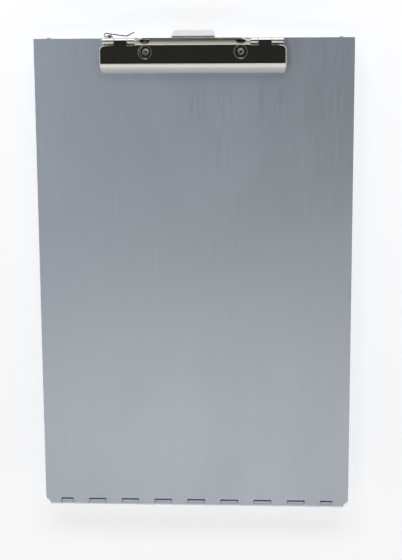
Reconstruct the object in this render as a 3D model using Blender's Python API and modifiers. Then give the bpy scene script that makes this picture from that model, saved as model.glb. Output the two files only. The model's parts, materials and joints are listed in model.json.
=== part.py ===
"""An aluminium storage clipboard: a folded tray, a hinged writing cover and a sprung clip.

It lies on its back. +X is right, +Y runs up the board to the clip, +Z comes out of the writing face.
The origin is at the middle of the tray's back. Lengths are metres and angles are degrees.
Each sheet piece is modelled by its middle surface, pulled along its bends, then given its thickness.
"""

import math

import bmesh
import bpy
from mathutils import Matrix, Vector

# Board
COVER_WIDTH = 0.2413
BOARD_LENGTH = 0.3683
CLOSED_THICKNESS = 0.0254
COVER_SHEET = 0.0013
GAP = 0.0003

# Tray
TRAY_SHEET = 0.0010
TRAY_INSET = 0.0008
TRAY_BEND = 0.0025
TRAY_HEM = 0.0060
HEM_BEND = 0.0012
HEM_SETBACK = 0.0015
CORNER_TAB = 0.0140

# Board hinge
HINGE_PIN_RADIUS = 0.0012
HINGE_PLAY = 0.0002
HINGE_WRAP = 260
HINGE_WINDOW = 0.0139
HINGE_END_WINDOW = 0.0095
HINGE_KNUCKLE = 0.0125
LEAST_END_KNUCKLE = 0.0100
HINGE_SIDE_PLAY = 0.0003
HINGE_WINDOW_GAP = 0.0009
HINGE_NOTCH_GAP = 0.0006
COVER_CHAMFER = 0.0036

# Clip
CLIP_SHEET = 0.0010
CLIP_PIN_RADIUS = 0.0013
CLIP_PLAY = 0.0002
CLIP_WRAP = 240
PIVOT_SETBACK = 0.0021
PIVOT_HEIGHT = 0.0080
LEVER_WIDTH = 0.0862
INNER_EAR = 0.0057
JAW_CURL = 0.0101
END_EAR = 0.0088
EAR_SIDE_PLAY = 0.0002
JAW_OVERHANG = 0.0019
JAW_REACH = 0.0240
JAW_NOTCH_GAP = 0.0006
JAW_CORNER = 0.0040
CREASE_RADIUS = 0.0020
LIP_CREASE = 28
LIP_RADIUS = 0.0125
LIP_STEEP = 80
LIP_CORNER = 0.0040
LEVER_FILLET = 0.0009
LEVER_LEAN = 63
LEVER_TIP_LEAN = 76
LEVER_LENGTH = 0.0109
LEVER_TAPER = 0.0060
LEVER_TAPER_START = 0.25
ACCESS_HOLE_RADIUS = 0.0049
BASE_REACH = 0.0140
BASE_BEND = 0.0015

# Clip rivets, tubular, with the rolled end in front
RIVET_LEG_SPACE = 0.0054
RIVET_BACK = 0.0082
RIVET_SHANK = 0.0016
RIVET_BORE = 0.0010
RIVET_RING = 0.0025
RIVET_RING_HEIGHT = 0.0009
RIVET_HEAD = 0.0040
RIVET_HEAD_HEIGHT = 0.0008
RIVET_HEAD_EASE = 0.0004
RIVET_PLAY = 0.0002

# Clip springs
SPRING_WIRE = 0.0008
SPRING_PIN_GAP = 0.0003
SPRING_TURNS = 6
SPRING_SPACE = 0.0006
SPRING_INSET = 0.0020
SPRING_BASE_LEG = 0.0110
SPRING_LEVER_LEG = 0.0040

# Small rivets of the tray, the latch and the pen holder
STUD_SHANK = 0.0012
STUD_HEAD = 0.0022
STUD_HEAD_HEIGHT = 0.0008
STUD_TAIL = 0.0020
STUD_TAIL_HEIGHT = 0.0006

# Pen holder
LEAF_SHEET = 0.0008
LEAF_HEIGHT = 0.0050
LEAF_TURN = 0.0013
LEAF_FOOT = 0.0052
LEAF_FOOT_INSET = 0.0007
LEAF_LENGTH = 0.0146
LEAF_SLOPE = 8
LEAF_FLARE_RADIUS = 0.0025
LEAF_FLARE = 33
LEAF_FLARE_LENGTH = 0.0064

# Latch
LATCH_SHEET = 0.0008
LATCH_WIDTH = 0.0324
LATCH_RIVET_SPACING = 0.0200
LATCH_RIVET_HEIGHT = 0.0080
LATCH_TAIL = 0.0030
LATCH_RISE = 0.0004
LATCH_BEND = 0.0008
LATCH_SWEEP = 124
LATCH_LIP = 0.0045
LATCH_CORNER = 0.0035

# How finely round forms are divided
ROUND_SIDES = 24
STUD_SIDES = 16
BEND_STEPS = 4
CORNER_STEPS = 3
ROLL_STEPS = 14
LIP_STEPS = 9
DOME_STEPS = 3
COIL_STEPS = 9

# Places that follow from the sizes above
TOP = BOARD_LENGTH / 2
BOTTOM = -BOARD_LENGTH / 2
FACE = CLOSED_THICKNESS
RIM = FACE - COVER_SHEET - GAP
HINGE_BORE = HINGE_PIN_RADIUS + HINGE_PLAY
COVER_ROLL = HINGE_BORE + COVER_SHEET
TRAY_ROLL = HINGE_BORE + TRAY_SHEET
HINGE_Y = BOTTOM + COVER_ROLL
HINGE_Z = FACE - COVER_ROLL
CLIP_BORE = CLIP_PIN_RADIUS + CLIP_PLAY
CLIP_ROLL = CLIP_BORE + CLIP_SHEET
CLIP_MIDDLE = CLIP_BORE + CLIP_SHEET / 2
PIVOT_Y = TOP - PIVOT_SETBACK
PIVOT_Z = FACE + PIVOT_HEIGHT
BASE_TOP = FACE + GAP + CLIP_SHEET
LEVER_END = LEVER_WIDTH / 2
INNER_EAR_END = LEVER_END + INNER_EAR
CURL_END = INNER_EAR_END + JAW_CURL
END_EAR_END = CURL_END + END_EAR
JAW_END = END_EAR_END + JAW_OVERHANG
JAW_ROW_Y = PIVOT_Y - CLIP_ROLL - JAW_NOTCH_GAP
SPRING_X = LEVER_END - SPRING_INSET
RIVET_X = SPRING_X - RIVET_LEG_SPACE
RIVET_Y = PIVOT_Y - RIVET_BACK
LEAF_Y = PIVOT_Y + CLIP_ROLL + GAP + LEAF_SHEET / 2
LEAF_Z = (BASE_TOP + PIVOT_Z) / 2
LEAF_FOOT_END = -CURL_END - LEAF_FOOT_INSET
LEAF_RIVET_X = LEAF_FOOT_END - LEAF_FOOT / 2
LATCH_Y = TOP + GAP + LATCH_SHEET / 2
TINY = 1e-6


def arc(centre, radius, start, end, steps):
    """Points on an arc in a plane, after its first. Angles run from the plane's first axis to its second."""
    points = []
    for step in range(1, steps + 1):
        angle = math.radians(start + (end - start) * step / steps)
        points.append((centre[0] + radius * math.cos(angle), centre[1] + radius * math.sin(angle)))
    return points


def in_yz(points):
    return [(None, y, z) for y, z in points]


def in_xy(points):
    return [(x, y, None) for x, y in points]


def row(bm, points):
    """A chain of edges through the points, to be pulled into a sheet."""
    corners = [bm.verts.new(point) for point in points]
    return [bm.edges.new(pair) for pair in zip(corners, corners[1:])]


def pull(bm, edges, path, reach=None):
    """Pulls a row of edges from place to place along a path. A coordinate of None stays as it is.

    reach, where it is given, sets how far from the middle the row's outer ends lie at each place.
    """
    for index, place in enumerate(path):
        grown = bmesh.ops.extrude_edge_only(bm, edges=edges)["geom"]
        corners = {item for item in grown if isinstance(item, bmesh.types.BMVert)}
        outermost = max(abs(corner.co.x) for corner in corners)
        for corner in corners:
            if reach and abs(corner.co.x) > outermost - TINY:
                corner.co.x = math.copysign(reach[index], corner.co.x)
            corner.co = [old if new is None else new for old, new in zip(corner.co, place)]
        found = [item for item in grown if isinstance(item, bmesh.types.BMEdge)]
        edges = [edge for edge in found if corners.issuperset(edge.verts)]
    return edges


def edges_between(edges, spans):
    """Those of a row's edges whose middle lies in one of the spans of x."""
    chosen = []
    for edge in edges:
        middle = (edge.verts[0].co.x + edge.verts[1].co.x) / 2
        if any(low < middle < high for low, high in spans):
            chosen.append(edge)
    return chosen


def round_end(reach, corner, share):
    """How far out the end of a sheet lies, a share of the way round its corner."""
    return reach - corner * (1 - math.sqrt(max(0, 1 - share * share)))


def both_sides(spans):
    return [(-high, -low) for low, high in spans] + list(spans)


def span_ends(spans):
    return [end for span in spans for end in span]


def finish(name, bm, carrier, colour, metallic, roughness):
    """Makes the named object from the mesh, with its own material, carried by an empty."""
    mesh = bpy.data.meshes.new(name)
    bm.to_mesh(mesh)
    bm.free()
    mesh.shade_smooth()
    mesh.set_sharp_from_angle(angle=math.radians(30))
    part = bpy.data.objects.new(name, mesh)
    return dress(part, carrier, colour, metallic, roughness)


def dress(part, carrier, colour, metallic, roughness):
    """Puts an object in the part's collection, under its carrier, with its own material."""
    material = bpy.data.materials.new(part.name)
    material.use_nodes = True
    shader = material.node_tree.nodes["Principled BSDF"]
    shader.inputs["Base Color"].default_value = (*colour, 1)
    shader.inputs["Metallic"].default_value = metallic
    shader.inputs["Roughness"].default_value = roughness
    part.data.materials.append(material)
    parts.objects.link(part)
    hang(part, carrier)
    return part


def hang(part, carrier):
    part.parent = carrier
    part.matrix_parent_inverse = carrier.matrix_world.inverted()


def thicken(part, thickness):
    solid = part.modifiers.new("Sheet", "SOLIDIFY")
    solid.thickness = thickness
    solid.offset = 0
    solid.use_even_offset = True


def sheet(name, bm, thickness, carrier, look):
    bmesh.ops.recalc_face_normals(bm, faces=bm.faces)
    part = finish(name, bm, carrier, *look)
    thicken(part, thickness)
    return part


def add_rod(bm, radius, start, end, segments):
    """Adds a closed cylinder between two points."""
    start, end = Vector(start), Vector(end)
    way = end - start
    place = Matrix.Translation((start + end) / 2) @ way.to_track_quat("Z", "Y").to_matrix().to_4x4()
    bmesh.ops.create_cone(
        bm, cap_ends=True, segments=segments, radius1=radius, radius2=radius, depth=way.length, matrix=place
    )


def pin(name, radius, half_length, y, z, carrier, look):
    """A round pin along X with eased ends."""
    bm = bmesh.new()
    add_rod(bm, radius, (-half_length, y, z), (half_length, y, z), ROUND_SIDES)
    part = finish(name, bm, carrier, *look)
    ease = part.modifiers.new("Ends", "BEVEL")
    ease.width = radius / 4
    ease.segments = 2
    ease.limit_method = "ANGLE"
    return part


def drill(part, holes, radius, reach, direction, carrier):
    """Cuts round holes through a part. reach is how far each cutter stands out on both sides."""
    bm = bmesh.new()
    for hole in holes:
        centre = Vector(hole)
        depth = reach * Vector(direction)
        add_rod(bm, radius, centre - depth, centre + depth, ROUND_SIDES)
    mesh = bpy.data.meshes.new(part.name + "_holes")
    bm.to_mesh(mesh)
    bm.free()
    cutter = bpy.data.objects.new(mesh.name, mesh)
    cutter.hide_render = True
    cutter.display_type = "WIRE"
    cutters.objects.link(cutter)
    hang(cutter, carrier)
    cut = part.modifiers.new("Holes", "BOOLEAN")
    cut.operation = "DIFFERENCE"
    cut.object = cutter


def turned(name, profile, steps, place, tilt, carrier, look):
    """A round piece turned from its profile, placed with its seat at a point and its axis tilted about X."""
    bm = bmesh.new()
    row(bm, [(radius, 0, height) for radius, height in profile])
    part = finish(name, bm, carrier, *look)
    part.location = place
    part.rotation_euler = (math.radians(tilt), 0, 0)
    turn = part.modifiers.new("Turn", "SCREW")
    turn.steps = steps
    turn.render_steps = steps
    turn.use_merge_vertices = True
    turn.merge_threshold = 0.00001
    turn.use_smooth_shade = True
    return part


def stud(name, grip, place, tilt, carrier):
    """A small solid rivet with a domed head in front of its seat and a flat tail behind the grip."""
    tail = -grip - GAP
    profile = [(0, GAP + STUD_HEAD_HEIGHT)]
    for x, height in arc((0, 0), 1, 90, 0, DOME_STEPS):
        profile.append((STUD_HEAD * x, GAP + STUD_HEAD_HEIGHT * height))
    profile += [
        (STUD_SHANK, GAP),
        (STUD_SHANK, tail),
        (STUD_TAIL, tail),
        (STUD_TAIL, tail - STUD_TAIL_HEIGHT),
        (0, tail - STUD_TAIL_HEIGHT),
    ]
    return turned(name, profile, STUD_SIDES, place, tilt, carrier, STEEL)


def axis_empty(name, place, carrier):
    empty = bpy.data.objects.new(name, None)
    empty.empty_display_size = 0.01
    empty.location = place
    parts.objects.link(empty)
    bpy.context.view_layer.update()
    if carrier:
        hang(empty, carrier)
    bpy.context.view_layer.update()
    return empty


def hinge_windows():
    """The spans of x that are cut from the cover for the tray's knuckles, from left to right."""
    pitch = HINGE_WINDOW + HINGE_KNUCKLE
    ends = 2 * (LEAST_END_KNUCKLE + HINGE_END_WINDOW) + HINGE_KNUCKLE
    count = int((COVER_WIDTH - ends) / pitch)
    middles = [(index - (count - 1) / 2) * pitch for index in range(count)]
    inner = [(middle - HINGE_WINDOW / 2, middle + HINGE_WINDOW / 2) for middle in middles]
    outer_start = (count * pitch + HINGE_KNUCKLE) / 2
    outer = both_sides([(outer_start, outer_start + HINGE_END_WINDOW)])
    return sorted(inner + outer)


def hinge_pin():
    half_length = COVER_WIDTH / 2 - COVER_CHAMFER - GAP
    return pin("hinge_pin", HINGE_PIN_RADIUS, half_length, HINGE_Y, HINGE_Z, tray_frame, STEEL)


def storage_tray():
    """One folded sheet: back, two hemmed side walls, two end walls, and tabs lapped inside the corners."""
    windows = hinge_windows()
    knuckles = [(low + HINGE_SIDE_PLAY, high - HINGE_SIDE_PLAY) for low, high in windows]
    wall_x = COVER_WIDTH / 2 - TRAY_INSET - TRAY_SHEET / 2
    flat_x = wall_x - TRAY_BEND
    back_z = TRAY_SHEET / 2
    hem_z = RIM - TRAY_SHEET / 2
    top_wall_y = TOP - TRAY_SHEET / 2
    hinge_wall_y = HINGE_Y - TRAY_ROLL + TRAY_SHEET / 2
    notch_z = HINGE_Z - COVER_ROLL - HINGE_NOTCH_GAP
    top_fold_y = top_wall_y - TRAY_BEND
    hinge_fold_y = hinge_wall_y + TRAY_BEND

    # The right half of the section across the board, from the back's edge to the top of the side wall
    wall_top = hem_z - HEM_BEND
    side = [(flat_x, back_z)]
    side += arc((flat_x, back_z + TRAY_BEND), TRAY_BEND, -90, 0, BEND_STEPS)
    side += [(wall_x, notch_z), (wall_x, wall_top)]
    back = [(x, back_z) for x in span_ends(knuckles)]
    section = [(-x, z) for x, z in reversed(side)] + back + side

    bm = bmesh.new()
    hinge_row = row(bm, [(x, hinge_fold_y, z) for x, z in section])
    hem_start = HINGE_Y + COVER_ROLL + HEM_SETBACK
    hem_row = pull(bm, hinge_row, [(None, hem_start, None)])
    top_row = pull(bm, hem_row, [(None, top_fold_y, None)])

    # Hems, turned in from the side walls, clear of the cover's rolled edge
    hem = arc((wall_x - HEM_BEND, wall_top), HEM_BEND, 0, 90, CORNER_STEPS)
    hem += [(wall_x - TRAY_HEM, hem_z)]
    for edge in list(bm.edges):
        ends = [corner.co for corner in edge.verts]
        if all(end.z > wall_top - TINY and end.y > hem_start - TINY for end in ends):
            hand = math.copysign(1, ends[0].x)
            pull(bm, [edge], [(hand * x, None, z) for x, z in hem])

    # End walls, folded up from the back
    flat_span = [(-flat_x, flat_x)]
    fold_z = back_z + TRAY_BEND
    top_wall = arc((top_fold_y, fold_z), TRAY_BEND, -90, 0, BEND_STEPS) + [(top_wall_y, RIM)]
    pull(bm, edges_between(top_row, flat_span), in_yz(top_wall))
    hinge_wall = arc((hinge_fold_y, fold_z), TRAY_BEND, -90, -180, BEND_STEPS)
    hinge_wall += [(hinge_wall_y, notch_z)]
    wall_row = pull(bm, edges_between(hinge_row, flat_span), in_yz(hinge_wall))
    roll = [(hinge_wall_y, HINGE_Z)]
    roll += arc((HINGE_Y, HINGE_Z), HINGE_BORE + TRAY_SHEET / 2, 180, 180 - HINGE_WRAP, ROLL_STEPS)
    pull(bm, edges_between(wall_row, knuckles), in_yz(roll))

    # Tabs, folded from the side walls to lie inside the end walls
    tab_bend = TRAY_BEND - TRAY_SHEET - GAP
    for edges, fold_y, way in ((top_row, top_fold_y, 1), (hinge_row, hinge_fold_y, -1)):
        for edge in edges:
            ends = [corner.co for corner in edge.verts]
            upright = all(abs(abs(end.x) - wall_x) < TINY and end.z < notch_z + TINY for end in ends)
            if not upright:
                continue
            hand = math.copysign(1, ends[0].x)
            tab = arc((wall_x - tab_bend, 0), tab_bend, 0, 90, CORNER_STEPS)
            tab += [(wall_x - tab_bend - CORNER_TAB, tab_bend)]
            pull(bm, [edge], in_xy([(hand * x, fold_y + way * y) for x, y in tab]))

    tray = sheet("storage_tray", bm, TRAY_SHEET, tray_frame, ALUMINIUM)

    # Four rivets hold the lapped corners
    rivet_x = wall_x - tab_bend - CORNER_TAB / 2
    rivet_z = (fold_z + notch_z) / 2
    grip = 2 * TRAY_SHEET + GAP
    holes = []
    for end, y, tilt in (("top", TOP, -90), ("bottom", hinge_wall_y - TRAY_SHEET / 2, 90)):
        for hand, x in (("left", -rivet_x), ("right", rivet_x)):
            holes.append((x, y, rivet_z))
            stud(f"corner_rivet_{end}_{hand}", grip, (x, y, rivet_z), tilt, tray_frame)
    for x in (-LATCH_RIVET_SPACING / 2, LATCH_RIVET_SPACING / 2):
        holes.append((x, TOP, LATCH_RIVET_HEIGHT))
    drill(tray, holes, STUD_SHANK + RIVET_PLAY, grip + TRAY_BEND, (0, 1, 0), tray_frame)
    return tray


def latch():
    """A sprung strip on the tray's top wall, whose thumb lip stands out behind the cover's top edge."""
    half = LATCH_WIDTH / 2
    bend_z = FACE + LATCH_RISE
    bm = bmesh.new()
    foot = row(bm, [(x, LATCH_Y, LATCH_RIVET_HEIGHT - LATCH_TAIL) for x in (-half, half)])
    path = [(LATCH_Y, bend_z)]
    path += arc((LATCH_Y + LATCH_BEND, bend_z), LATCH_BEND, 180, 180 - LATCH_SWEEP, BEND_STEPS)
    reach = [half] * len(path)
    slope = math.radians(LATCH_SWEEP)
    bend_end = path[-1]
    corner_run = LATCH_LIP - LATCH_CORNER
    corner = [(half, corner_run)]
    corner += arc((half - LATCH_CORNER, corner_run), LATCH_CORNER, 0, 90, BEND_STEPS)
    for x, run in corner:
        path.append((bend_end[0] + run * math.sin(slope), bend_end[1] + run * math.cos(slope)))
        reach.append(x)
    pull(bm, foot, in_yz(path), reach)
    strip = sheet("latch_tab", bm, LATCH_SHEET, latch_axis, STEEL)
    places = []
    for hand, x in (("left", -LATCH_RIVET_SPACING / 2), ("right", LATCH_RIVET_SPACING / 2)):
        places.append((x, LATCH_Y, LATCH_RIVET_HEIGHT))
        seat = (x, LATCH_Y + LATCH_SHEET / 2, LATCH_RIVET_HEIGHT)
        stud(f"latch_rivet_{hand}", LATCH_SHEET + GAP + TRAY_SHEET, seat, -90, tray_frame)
    drill(strip, places, STUD_SHANK + RIVET_PLAY, LATCH_SHEET * 2, (0, 1, 0), latch_axis)
    return strip


def cover_plate():
    """The writing plate, rolled round the hinge pin between the windows along its bottom edge."""
    windows = hinge_windows()
    half = COVER_WIDTH / 2
    middle_z = FACE - COVER_SHEET / 2
    window_y = HINGE_Y + TRAY_ROLL + HINGE_WINDOW_GAP
    stations = [-half] + span_ends(windows) + [half]
    knuckles = list(zip(stations[0::2], stations[1::2]))

    bm = bmesh.new()
    window_row = row(bm, [(x, window_y, middle_z) for x in stations])
    pull(bm, window_row, [(None, TOP, middle_z)])
    roll = [(HINGE_Y, middle_z)]
    roll += arc((HINGE_Y, HINGE_Z), HINGE_BORE + COVER_SHEET / 2, 90, 90 + HINGE_WRAP, ROLL_STEPS)
    pull(bm, edges_between(window_row, knuckles[1:-1]), in_yz(roll))
    for end in (knuckles[0], knuckles[-1]):
        pull(bm, edges_between(window_row, [end]), in_yz(roll), [half - COVER_CHAMFER] * len(roll))
    plate = sheet("cover_plate", bm, COVER_SHEET, cover_axis, ALUMINIUM)
    drill(plate, rivet_places(FACE), RIVET_SHANK + RIVET_PLAY, COVER_SHEET * 2, (0, 0, 1), cover_axis)
    return plate


def rivet_places(z):
    return [(-RIVET_X, RIVET_Y, z), (RIVET_X, RIVET_Y, z)]


def clip_base():
    """The clip's foot: a flat strip with four ears that roll over the pivot pin."""
    ears = both_sides(
        [
            (LEVER_END + EAR_SIDE_PLAY, INNER_EAR_END - EAR_SIDE_PLAY),
            (CURL_END + EAR_SIDE_PLAY, END_EAR_END),
        ]
    )
    flat_z = BASE_TOP - CLIP_SHEET / 2
    wall_y = PIVOT_Y + CLIP_MIDDLE
    fold_y = wall_y - BASE_BEND

    bm = bmesh.new()
    ear_row = row(bm, [(x, fold_y, flat_z) for x in sorted(span_ends(ears))])
    pull(bm, ear_row, [(None, PIVOT_Y - BASE_REACH, None)])
    path = arc((fold_y, flat_z + BASE_BEND), BASE_BEND, -90, 0, CORNER_STEPS)
    path += [(wall_y, PIVOT_Z)]
    path += arc((PIVOT_Y, PIVOT_Z), CLIP_MIDDLE, 0, CLIP_WRAP, ROLL_STEPS)
    pull(bm, edges_between(ear_row, ears), in_yz(path))
    base = sheet("clip_base", bm, CLIP_SHEET, cover_axis, NICKEL)
    drill(base, rivet_places(BASE_TOP), RIVET_SHANK + RIVET_PLAY, CLIP_SHEET * 2, (0, 0, 1), cover_axis)
    foot = [(LEAF_RIVET_X, wall_y, LEAF_Z)]
    drill(base, foot, STUD_SHANK + RIVET_PLAY, CLIP_SHEET, (0, 1, 0), cover_axis)
    return base


def clip_rivets():
    """Tubular rivets: a flat head inside the board and a rolled ring on the clip's foot."""
    ring_middle = (RIVET_BORE + RIVET_RING) / 2
    ring_half = (RIVET_RING - RIVET_BORE) / 2
    head_top = -(CLIP_SHEET + GAP + COVER_SHEET) - GAP
    head_end = head_top - RIVET_HEAD_HEIGHT
    profile = [(0, -CLIP_SHEET), (RIVET_BORE, -CLIP_SHEET), (RIVET_BORE, GAP)]
    for x, height in arc((0, 0), 1, 180, 0, 2 * DOME_STEPS):
        profile.append((ring_middle + ring_half * x, GAP + RIVET_RING_HEIGHT * height))
    profile += [
        (RIVET_SHANK, GAP),
        (RIVET_SHANK, head_top),
        (RIVET_HEAD, head_top),
        (RIVET_HEAD - RIVET_HEAD_EASE, head_end),
        (0, head_end),
    ]
    for hand, place in zip(("left", "right"), rivet_places(BASE_TOP)):
        turned(f"clip_rivet_{hand}", profile, ROUND_SIDES, place, 0, cover_axis, NICKEL)


def lever_point(run, behind):
    """A place on the lever: how far up it from its bend, and how far behind its middle."""
    first = math.radians(LEVER_LEAN)
    radius = LEVER_LENGTH / math.radians(LEVER_TIP_LEAN - LEVER_LEAN)
    lean = first + run / radius
    bend = LEVER_FILLET + CLIP_SHEET / 2
    y = bend * math.sin(first) + radius * (math.sin(lean) - math.sin(first)) + behind * math.sin(lean)
    rise = bend * (1 - math.cos(first)) + radius * (math.cos(first) - math.cos(lean))
    return JAW_ROW_Y + y, PIVOT_Z + CLIP_MIDDLE + rise - behind * math.cos(lean)


def clip_jaw():
    """One stamping: flat face, creased and rounded lip, two curls on the pivot pin, and the thumb lever."""
    flat_z = PIVOT_Z + CLIP_MIDDLE
    curl = [(INNER_EAR_END + EAR_SIDE_PLAY, CURL_END - EAR_SIDE_PLAY)]
    stations = both_sides([(LEVER_END, LEVER_END)] + curl + [(JAW_END - JAW_CORNER, JAW_END)])
    top_ends = sorted({x for x in span_ends(stations) if abs(x) < JAW_END})

    bm = bmesh.new()
    top_row = row(bm, [(x, JAW_ROW_Y, flat_z) for x in top_ends])

    # Face and lip, with rounded corners at both edges
    path, reach = [], []
    corner = arc((JAW_END - JAW_CORNER, JAW_ROW_Y - JAW_CORNER), JAW_CORNER, 90, 0, CORNER_STEPS)
    for x, y in corner:
        path.append((y, flat_z))
        reach.append(x)
    crease, steep = math.radians(LIP_CREASE), math.radians(LIP_STEEP)
    crease_bend = CREASE_RADIUS - CLIP_SHEET / 2
    lip_bend = LIP_RADIUS - CLIP_SHEET / 2
    run = crease_bend * math.sin(crease) + lip_bend * (math.sin(steep) - math.sin(crease))
    fall = crease_bend * (1 - math.cos(crease)) + lip_bend * (math.cos(crease) - math.cos(steep))
    edge_run = (flat_z - fall - FACE - GAP) / math.tan(steep)
    lip_y = PIVOT_Y - JAW_REACH + CLIP_SHEET / 2 + run + edge_run
    lip = [(lip_y, flat_z)]
    lip += arc((lip_y, flat_z - crease_bend), crease_bend, 90, 90 + LIP_CREASE, CORNER_STEPS)
    lip_middle = (lip[-1][0] + lip_bend * math.sin(crease), lip[-1][1] - lip_bend * math.cos(crease))
    lip += arc(lip_middle, lip_bend, 90 + LIP_CREASE, 90 + LIP_STEEP, LIP_STEPS)
    lip += [(lip[-1][0] - edge_run, FACE + GAP)]
    corner_y = PIVOT_Y - JAW_REACH + LIP_CORNER
    for y, z in lip:
        path.append((y, z))
        reach.append(round_end(JAW_END, LIP_CORNER, min(1, max(0, (corner_y - y) / LIP_CORNER))))
    pull(bm, top_row, in_yz(path), reach)

    # Curls round the pin
    curls = [(PIVOT_Y, flat_z)] + arc((PIVOT_Y, PIVOT_Z), CLIP_MIDDLE, 90, 90 - CLIP_WRAP, ROLL_STEPS)
    pull(bm, edges_between(top_row, both_sides(curl)), in_yz(curls))

    # Lever, bent up from the face to lean back over the pin, slightly hollow, with ends that taper to its edge
    bend = LEVER_FILLET + CLIP_SHEET / 2
    path = arc((JAW_ROW_Y, flat_z + bend), bend, -90, LEVER_LEAN - 90, BEND_STEPS)
    reach = [LEVER_END] * len(path)
    for share in (LEVER_TAPER_START, (1 + LEVER_TAPER_START) / 2, 1):
        path.append(lever_point(LEVER_LENGTH * share, 0))
        reach.append(LEVER_END - LEVER_TAPER * (share - LEVER_TAPER_START) / (1 - LEVER_TAPER_START))
    pull(bm, edges_between(top_row, [(-LEVER_END, LEVER_END)]), in_yz(path), reach)

    jaw = sheet("clip_jaw", bm, CLIP_SHEET, jaw_axis, NICKEL)
    drill(jaw, rivet_places(flat_z), ACCESS_HOLE_RADIUS, CLIP_SHEET * 2, (0, 0, 1), jaw_axis)
    return jaw


def clip_pivot_pin():
    return pin("clip_pivot_pin", CLIP_PIN_RADIUS, END_EAR_END + GAP, PIVOT_Y, PIVOT_Z, cover_axis, STEEL)


def tangent_point(target, radius, side):
    """The angle at which a line from the target touches a circle about the pivot, on one side of it."""
    distance = math.hypot(*target)
    return math.degrees(math.atan2(target[1], target[0])) + side * math.degrees(math.acos(radius / distance))


def spring_points(hand):
    """A torsion spring's wire: a leg on the clip's foot, the coil round the pin, a leg behind the lever."""
    coil = CLIP_PIN_RADIUS + SPRING_PIN_GAP + SPRING_WIRE / 2
    foot = (-SPRING_BASE_LEG, BASE_TOP + GAP + SPRING_WIRE / 2 - PIVOT_Z)
    thumb_y, thumb_z = lever_point(SPRING_LEVER_LEG, CLIP_SHEET / 2 + GAP + SPRING_WIRE / 2)
    thumb = (thumb_y - PIVOT_Y, thumb_z - PIVOT_Z)
    start = tangent_point(foot, coil, 1) % 360
    end = tangent_point(thumb, coil, -1) % 360
    while end < start:
        end += 360
    end += 360 * SPRING_TURNS
    count = math.ceil((end - start) / 360 * COIL_STEPS)
    pitch = SPRING_WIRE + SPRING_SPACE
    points = [(SPRING_X, *foot)]
    for index in range(count + 1):
        angle = start + (end - start) * index / count
        x = SPRING_X - pitch * (angle - start) / 360
        y = coil * math.cos(math.radians(angle))
        z = coil * math.sin(math.radians(angle))
        points.append((x, y, z))
    points.append((points[-1][0], *thumb))
    return [Vector((hand * x, PIVOT_Y + y, PIVOT_Z + z)) for x, y, z in points]


def least_self_gap(points, diameter, skip):
    """The least space between two stretches of a wire that aren't next to each other along it."""
    dense = []
    for first, second in zip(points, points[1:]):
        steps = max(1, round((second - first).length / (diameter / 2)))
        dense += [first.lerp(second, step / steps) for step in range(steps)]
    gaps = []
    for index, point in enumerate(dense):
        for other in dense[index + skip :]:
            gaps.append((point - other).length)
    return min(gaps) - diameter


def clip_spring(name, hand):
    points = spring_points(hand)
    curve = bpy.data.curves.new(name, "CURVE")
    curve.dimensions = "3D"
    curve.bevel_depth = SPRING_WIRE / 2
    curve.bevel_resolution = 1
    curve.use_fill_caps = True
    spline = curve.splines.new("POLY")
    spline.points.add(len(points) - 1)
    for slot, point in zip(spline.points, points):
        slot.co = (*point, 1)
    spring = bpy.data.objects.new(name, curve)
    turn_length = math.tau * (CLIP_PIN_RADIUS + SPRING_PIN_GAP + SPRING_WIRE / 2)
    skip = round(turn_length / 2 / (SPRING_WIRE / 2))
    gap = least_self_gap(points, SPRING_WIRE, skip)
    print(f"{name}: least gap to itself {gap * 1000:.2f} mm")
    return dress(spring, cover_axis, *STEEL)


def pen_holder():
    """A hairpin spring leaf on the left ear of the clip's foot: a pen's clip slides in from the right."""
    low, high = LEAF_Z - LEAF_HEIGHT / 2, LEAF_Z + LEAF_HEIGHT / 2
    turn_x = LEAF_FOOT_END - LEAF_FOOT
    slope = math.radians(LEAF_SLOPE)
    flare_start = -90 - LEAF_SLOPE
    flare_end = flare_start + LEAF_FLARE
    bm = bmesh.new()
    foot = row(bm, [(LEAF_FOOT_END, LEAF_Y, z) for z in (low, high)])
    path = [(turn_x, LEAF_Y)]
    path += arc((turn_x, LEAF_Y + LEAF_TURN), LEAF_TURN, 270, 90 - LEAF_SLOPE, 2 * BEND_STEPS)
    pinch_x = path[-1][0] + LEAF_LENGTH * math.cos(slope)
    pinch_y = path[-1][1] - LEAF_LENGTH * math.sin(slope)
    path.append((pinch_x, pinch_y))
    flare_x = pinch_x + LEAF_FLARE_RADIUS * math.sin(slope)
    flare_y = pinch_y + LEAF_FLARE_RADIUS * math.cos(slope)
    path += arc((flare_x, flare_y), LEAF_FLARE_RADIUS, flare_start, flare_end, BEND_STEPS)
    rise = math.radians(flare_end + 90)
    tip_x = path[-1][0] + LEAF_FLARE_LENGTH * math.cos(rise)
    tip_y = path[-1][1] + LEAF_FLARE_LENGTH * math.sin(rise)
    path.append((tip_x, tip_y))
    pull(bm, foot, in_xy(path))
    holder = sheet("pen_holder", bm, LEAF_SHEET, leaf_axis, STEEL)
    place = (LEAF_RIVET_X, LEAF_Y, LEAF_Z)
    drill(holder, [place], STUD_SHANK + RIVET_PLAY, LEAF_SHEET, (0, 1, 0), leaf_axis)
    seat = (LEAF_RIVET_X, LEAF_Y + LEAF_SHEET / 2, LEAF_Z)
    stud("pen_holder_rivet", LEAF_SHEET + GAP + CLIP_SHEET, seat, -90, cover_axis)
    return holder


# Colour, metallic value and roughness of each metal
ALUMINIUM = ((0.60, 0.62, 0.65), 1.0, 0.42)
NICKEL = ((0.72, 0.70, 0.67), 1.0, 0.12)
STEEL = ((0.66, 0.66, 0.65), 1.0, 0.25)

for old in list(bpy.data.objects):
    bpy.data.objects.remove(old)
parts = bpy.data.collections.new("storage_clipboard")
cutters = bpy.data.collections.new("cutters")
bpy.context.scene.collection.children.link(parts)
bpy.context.scene.collection.children.link(cutters)

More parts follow.
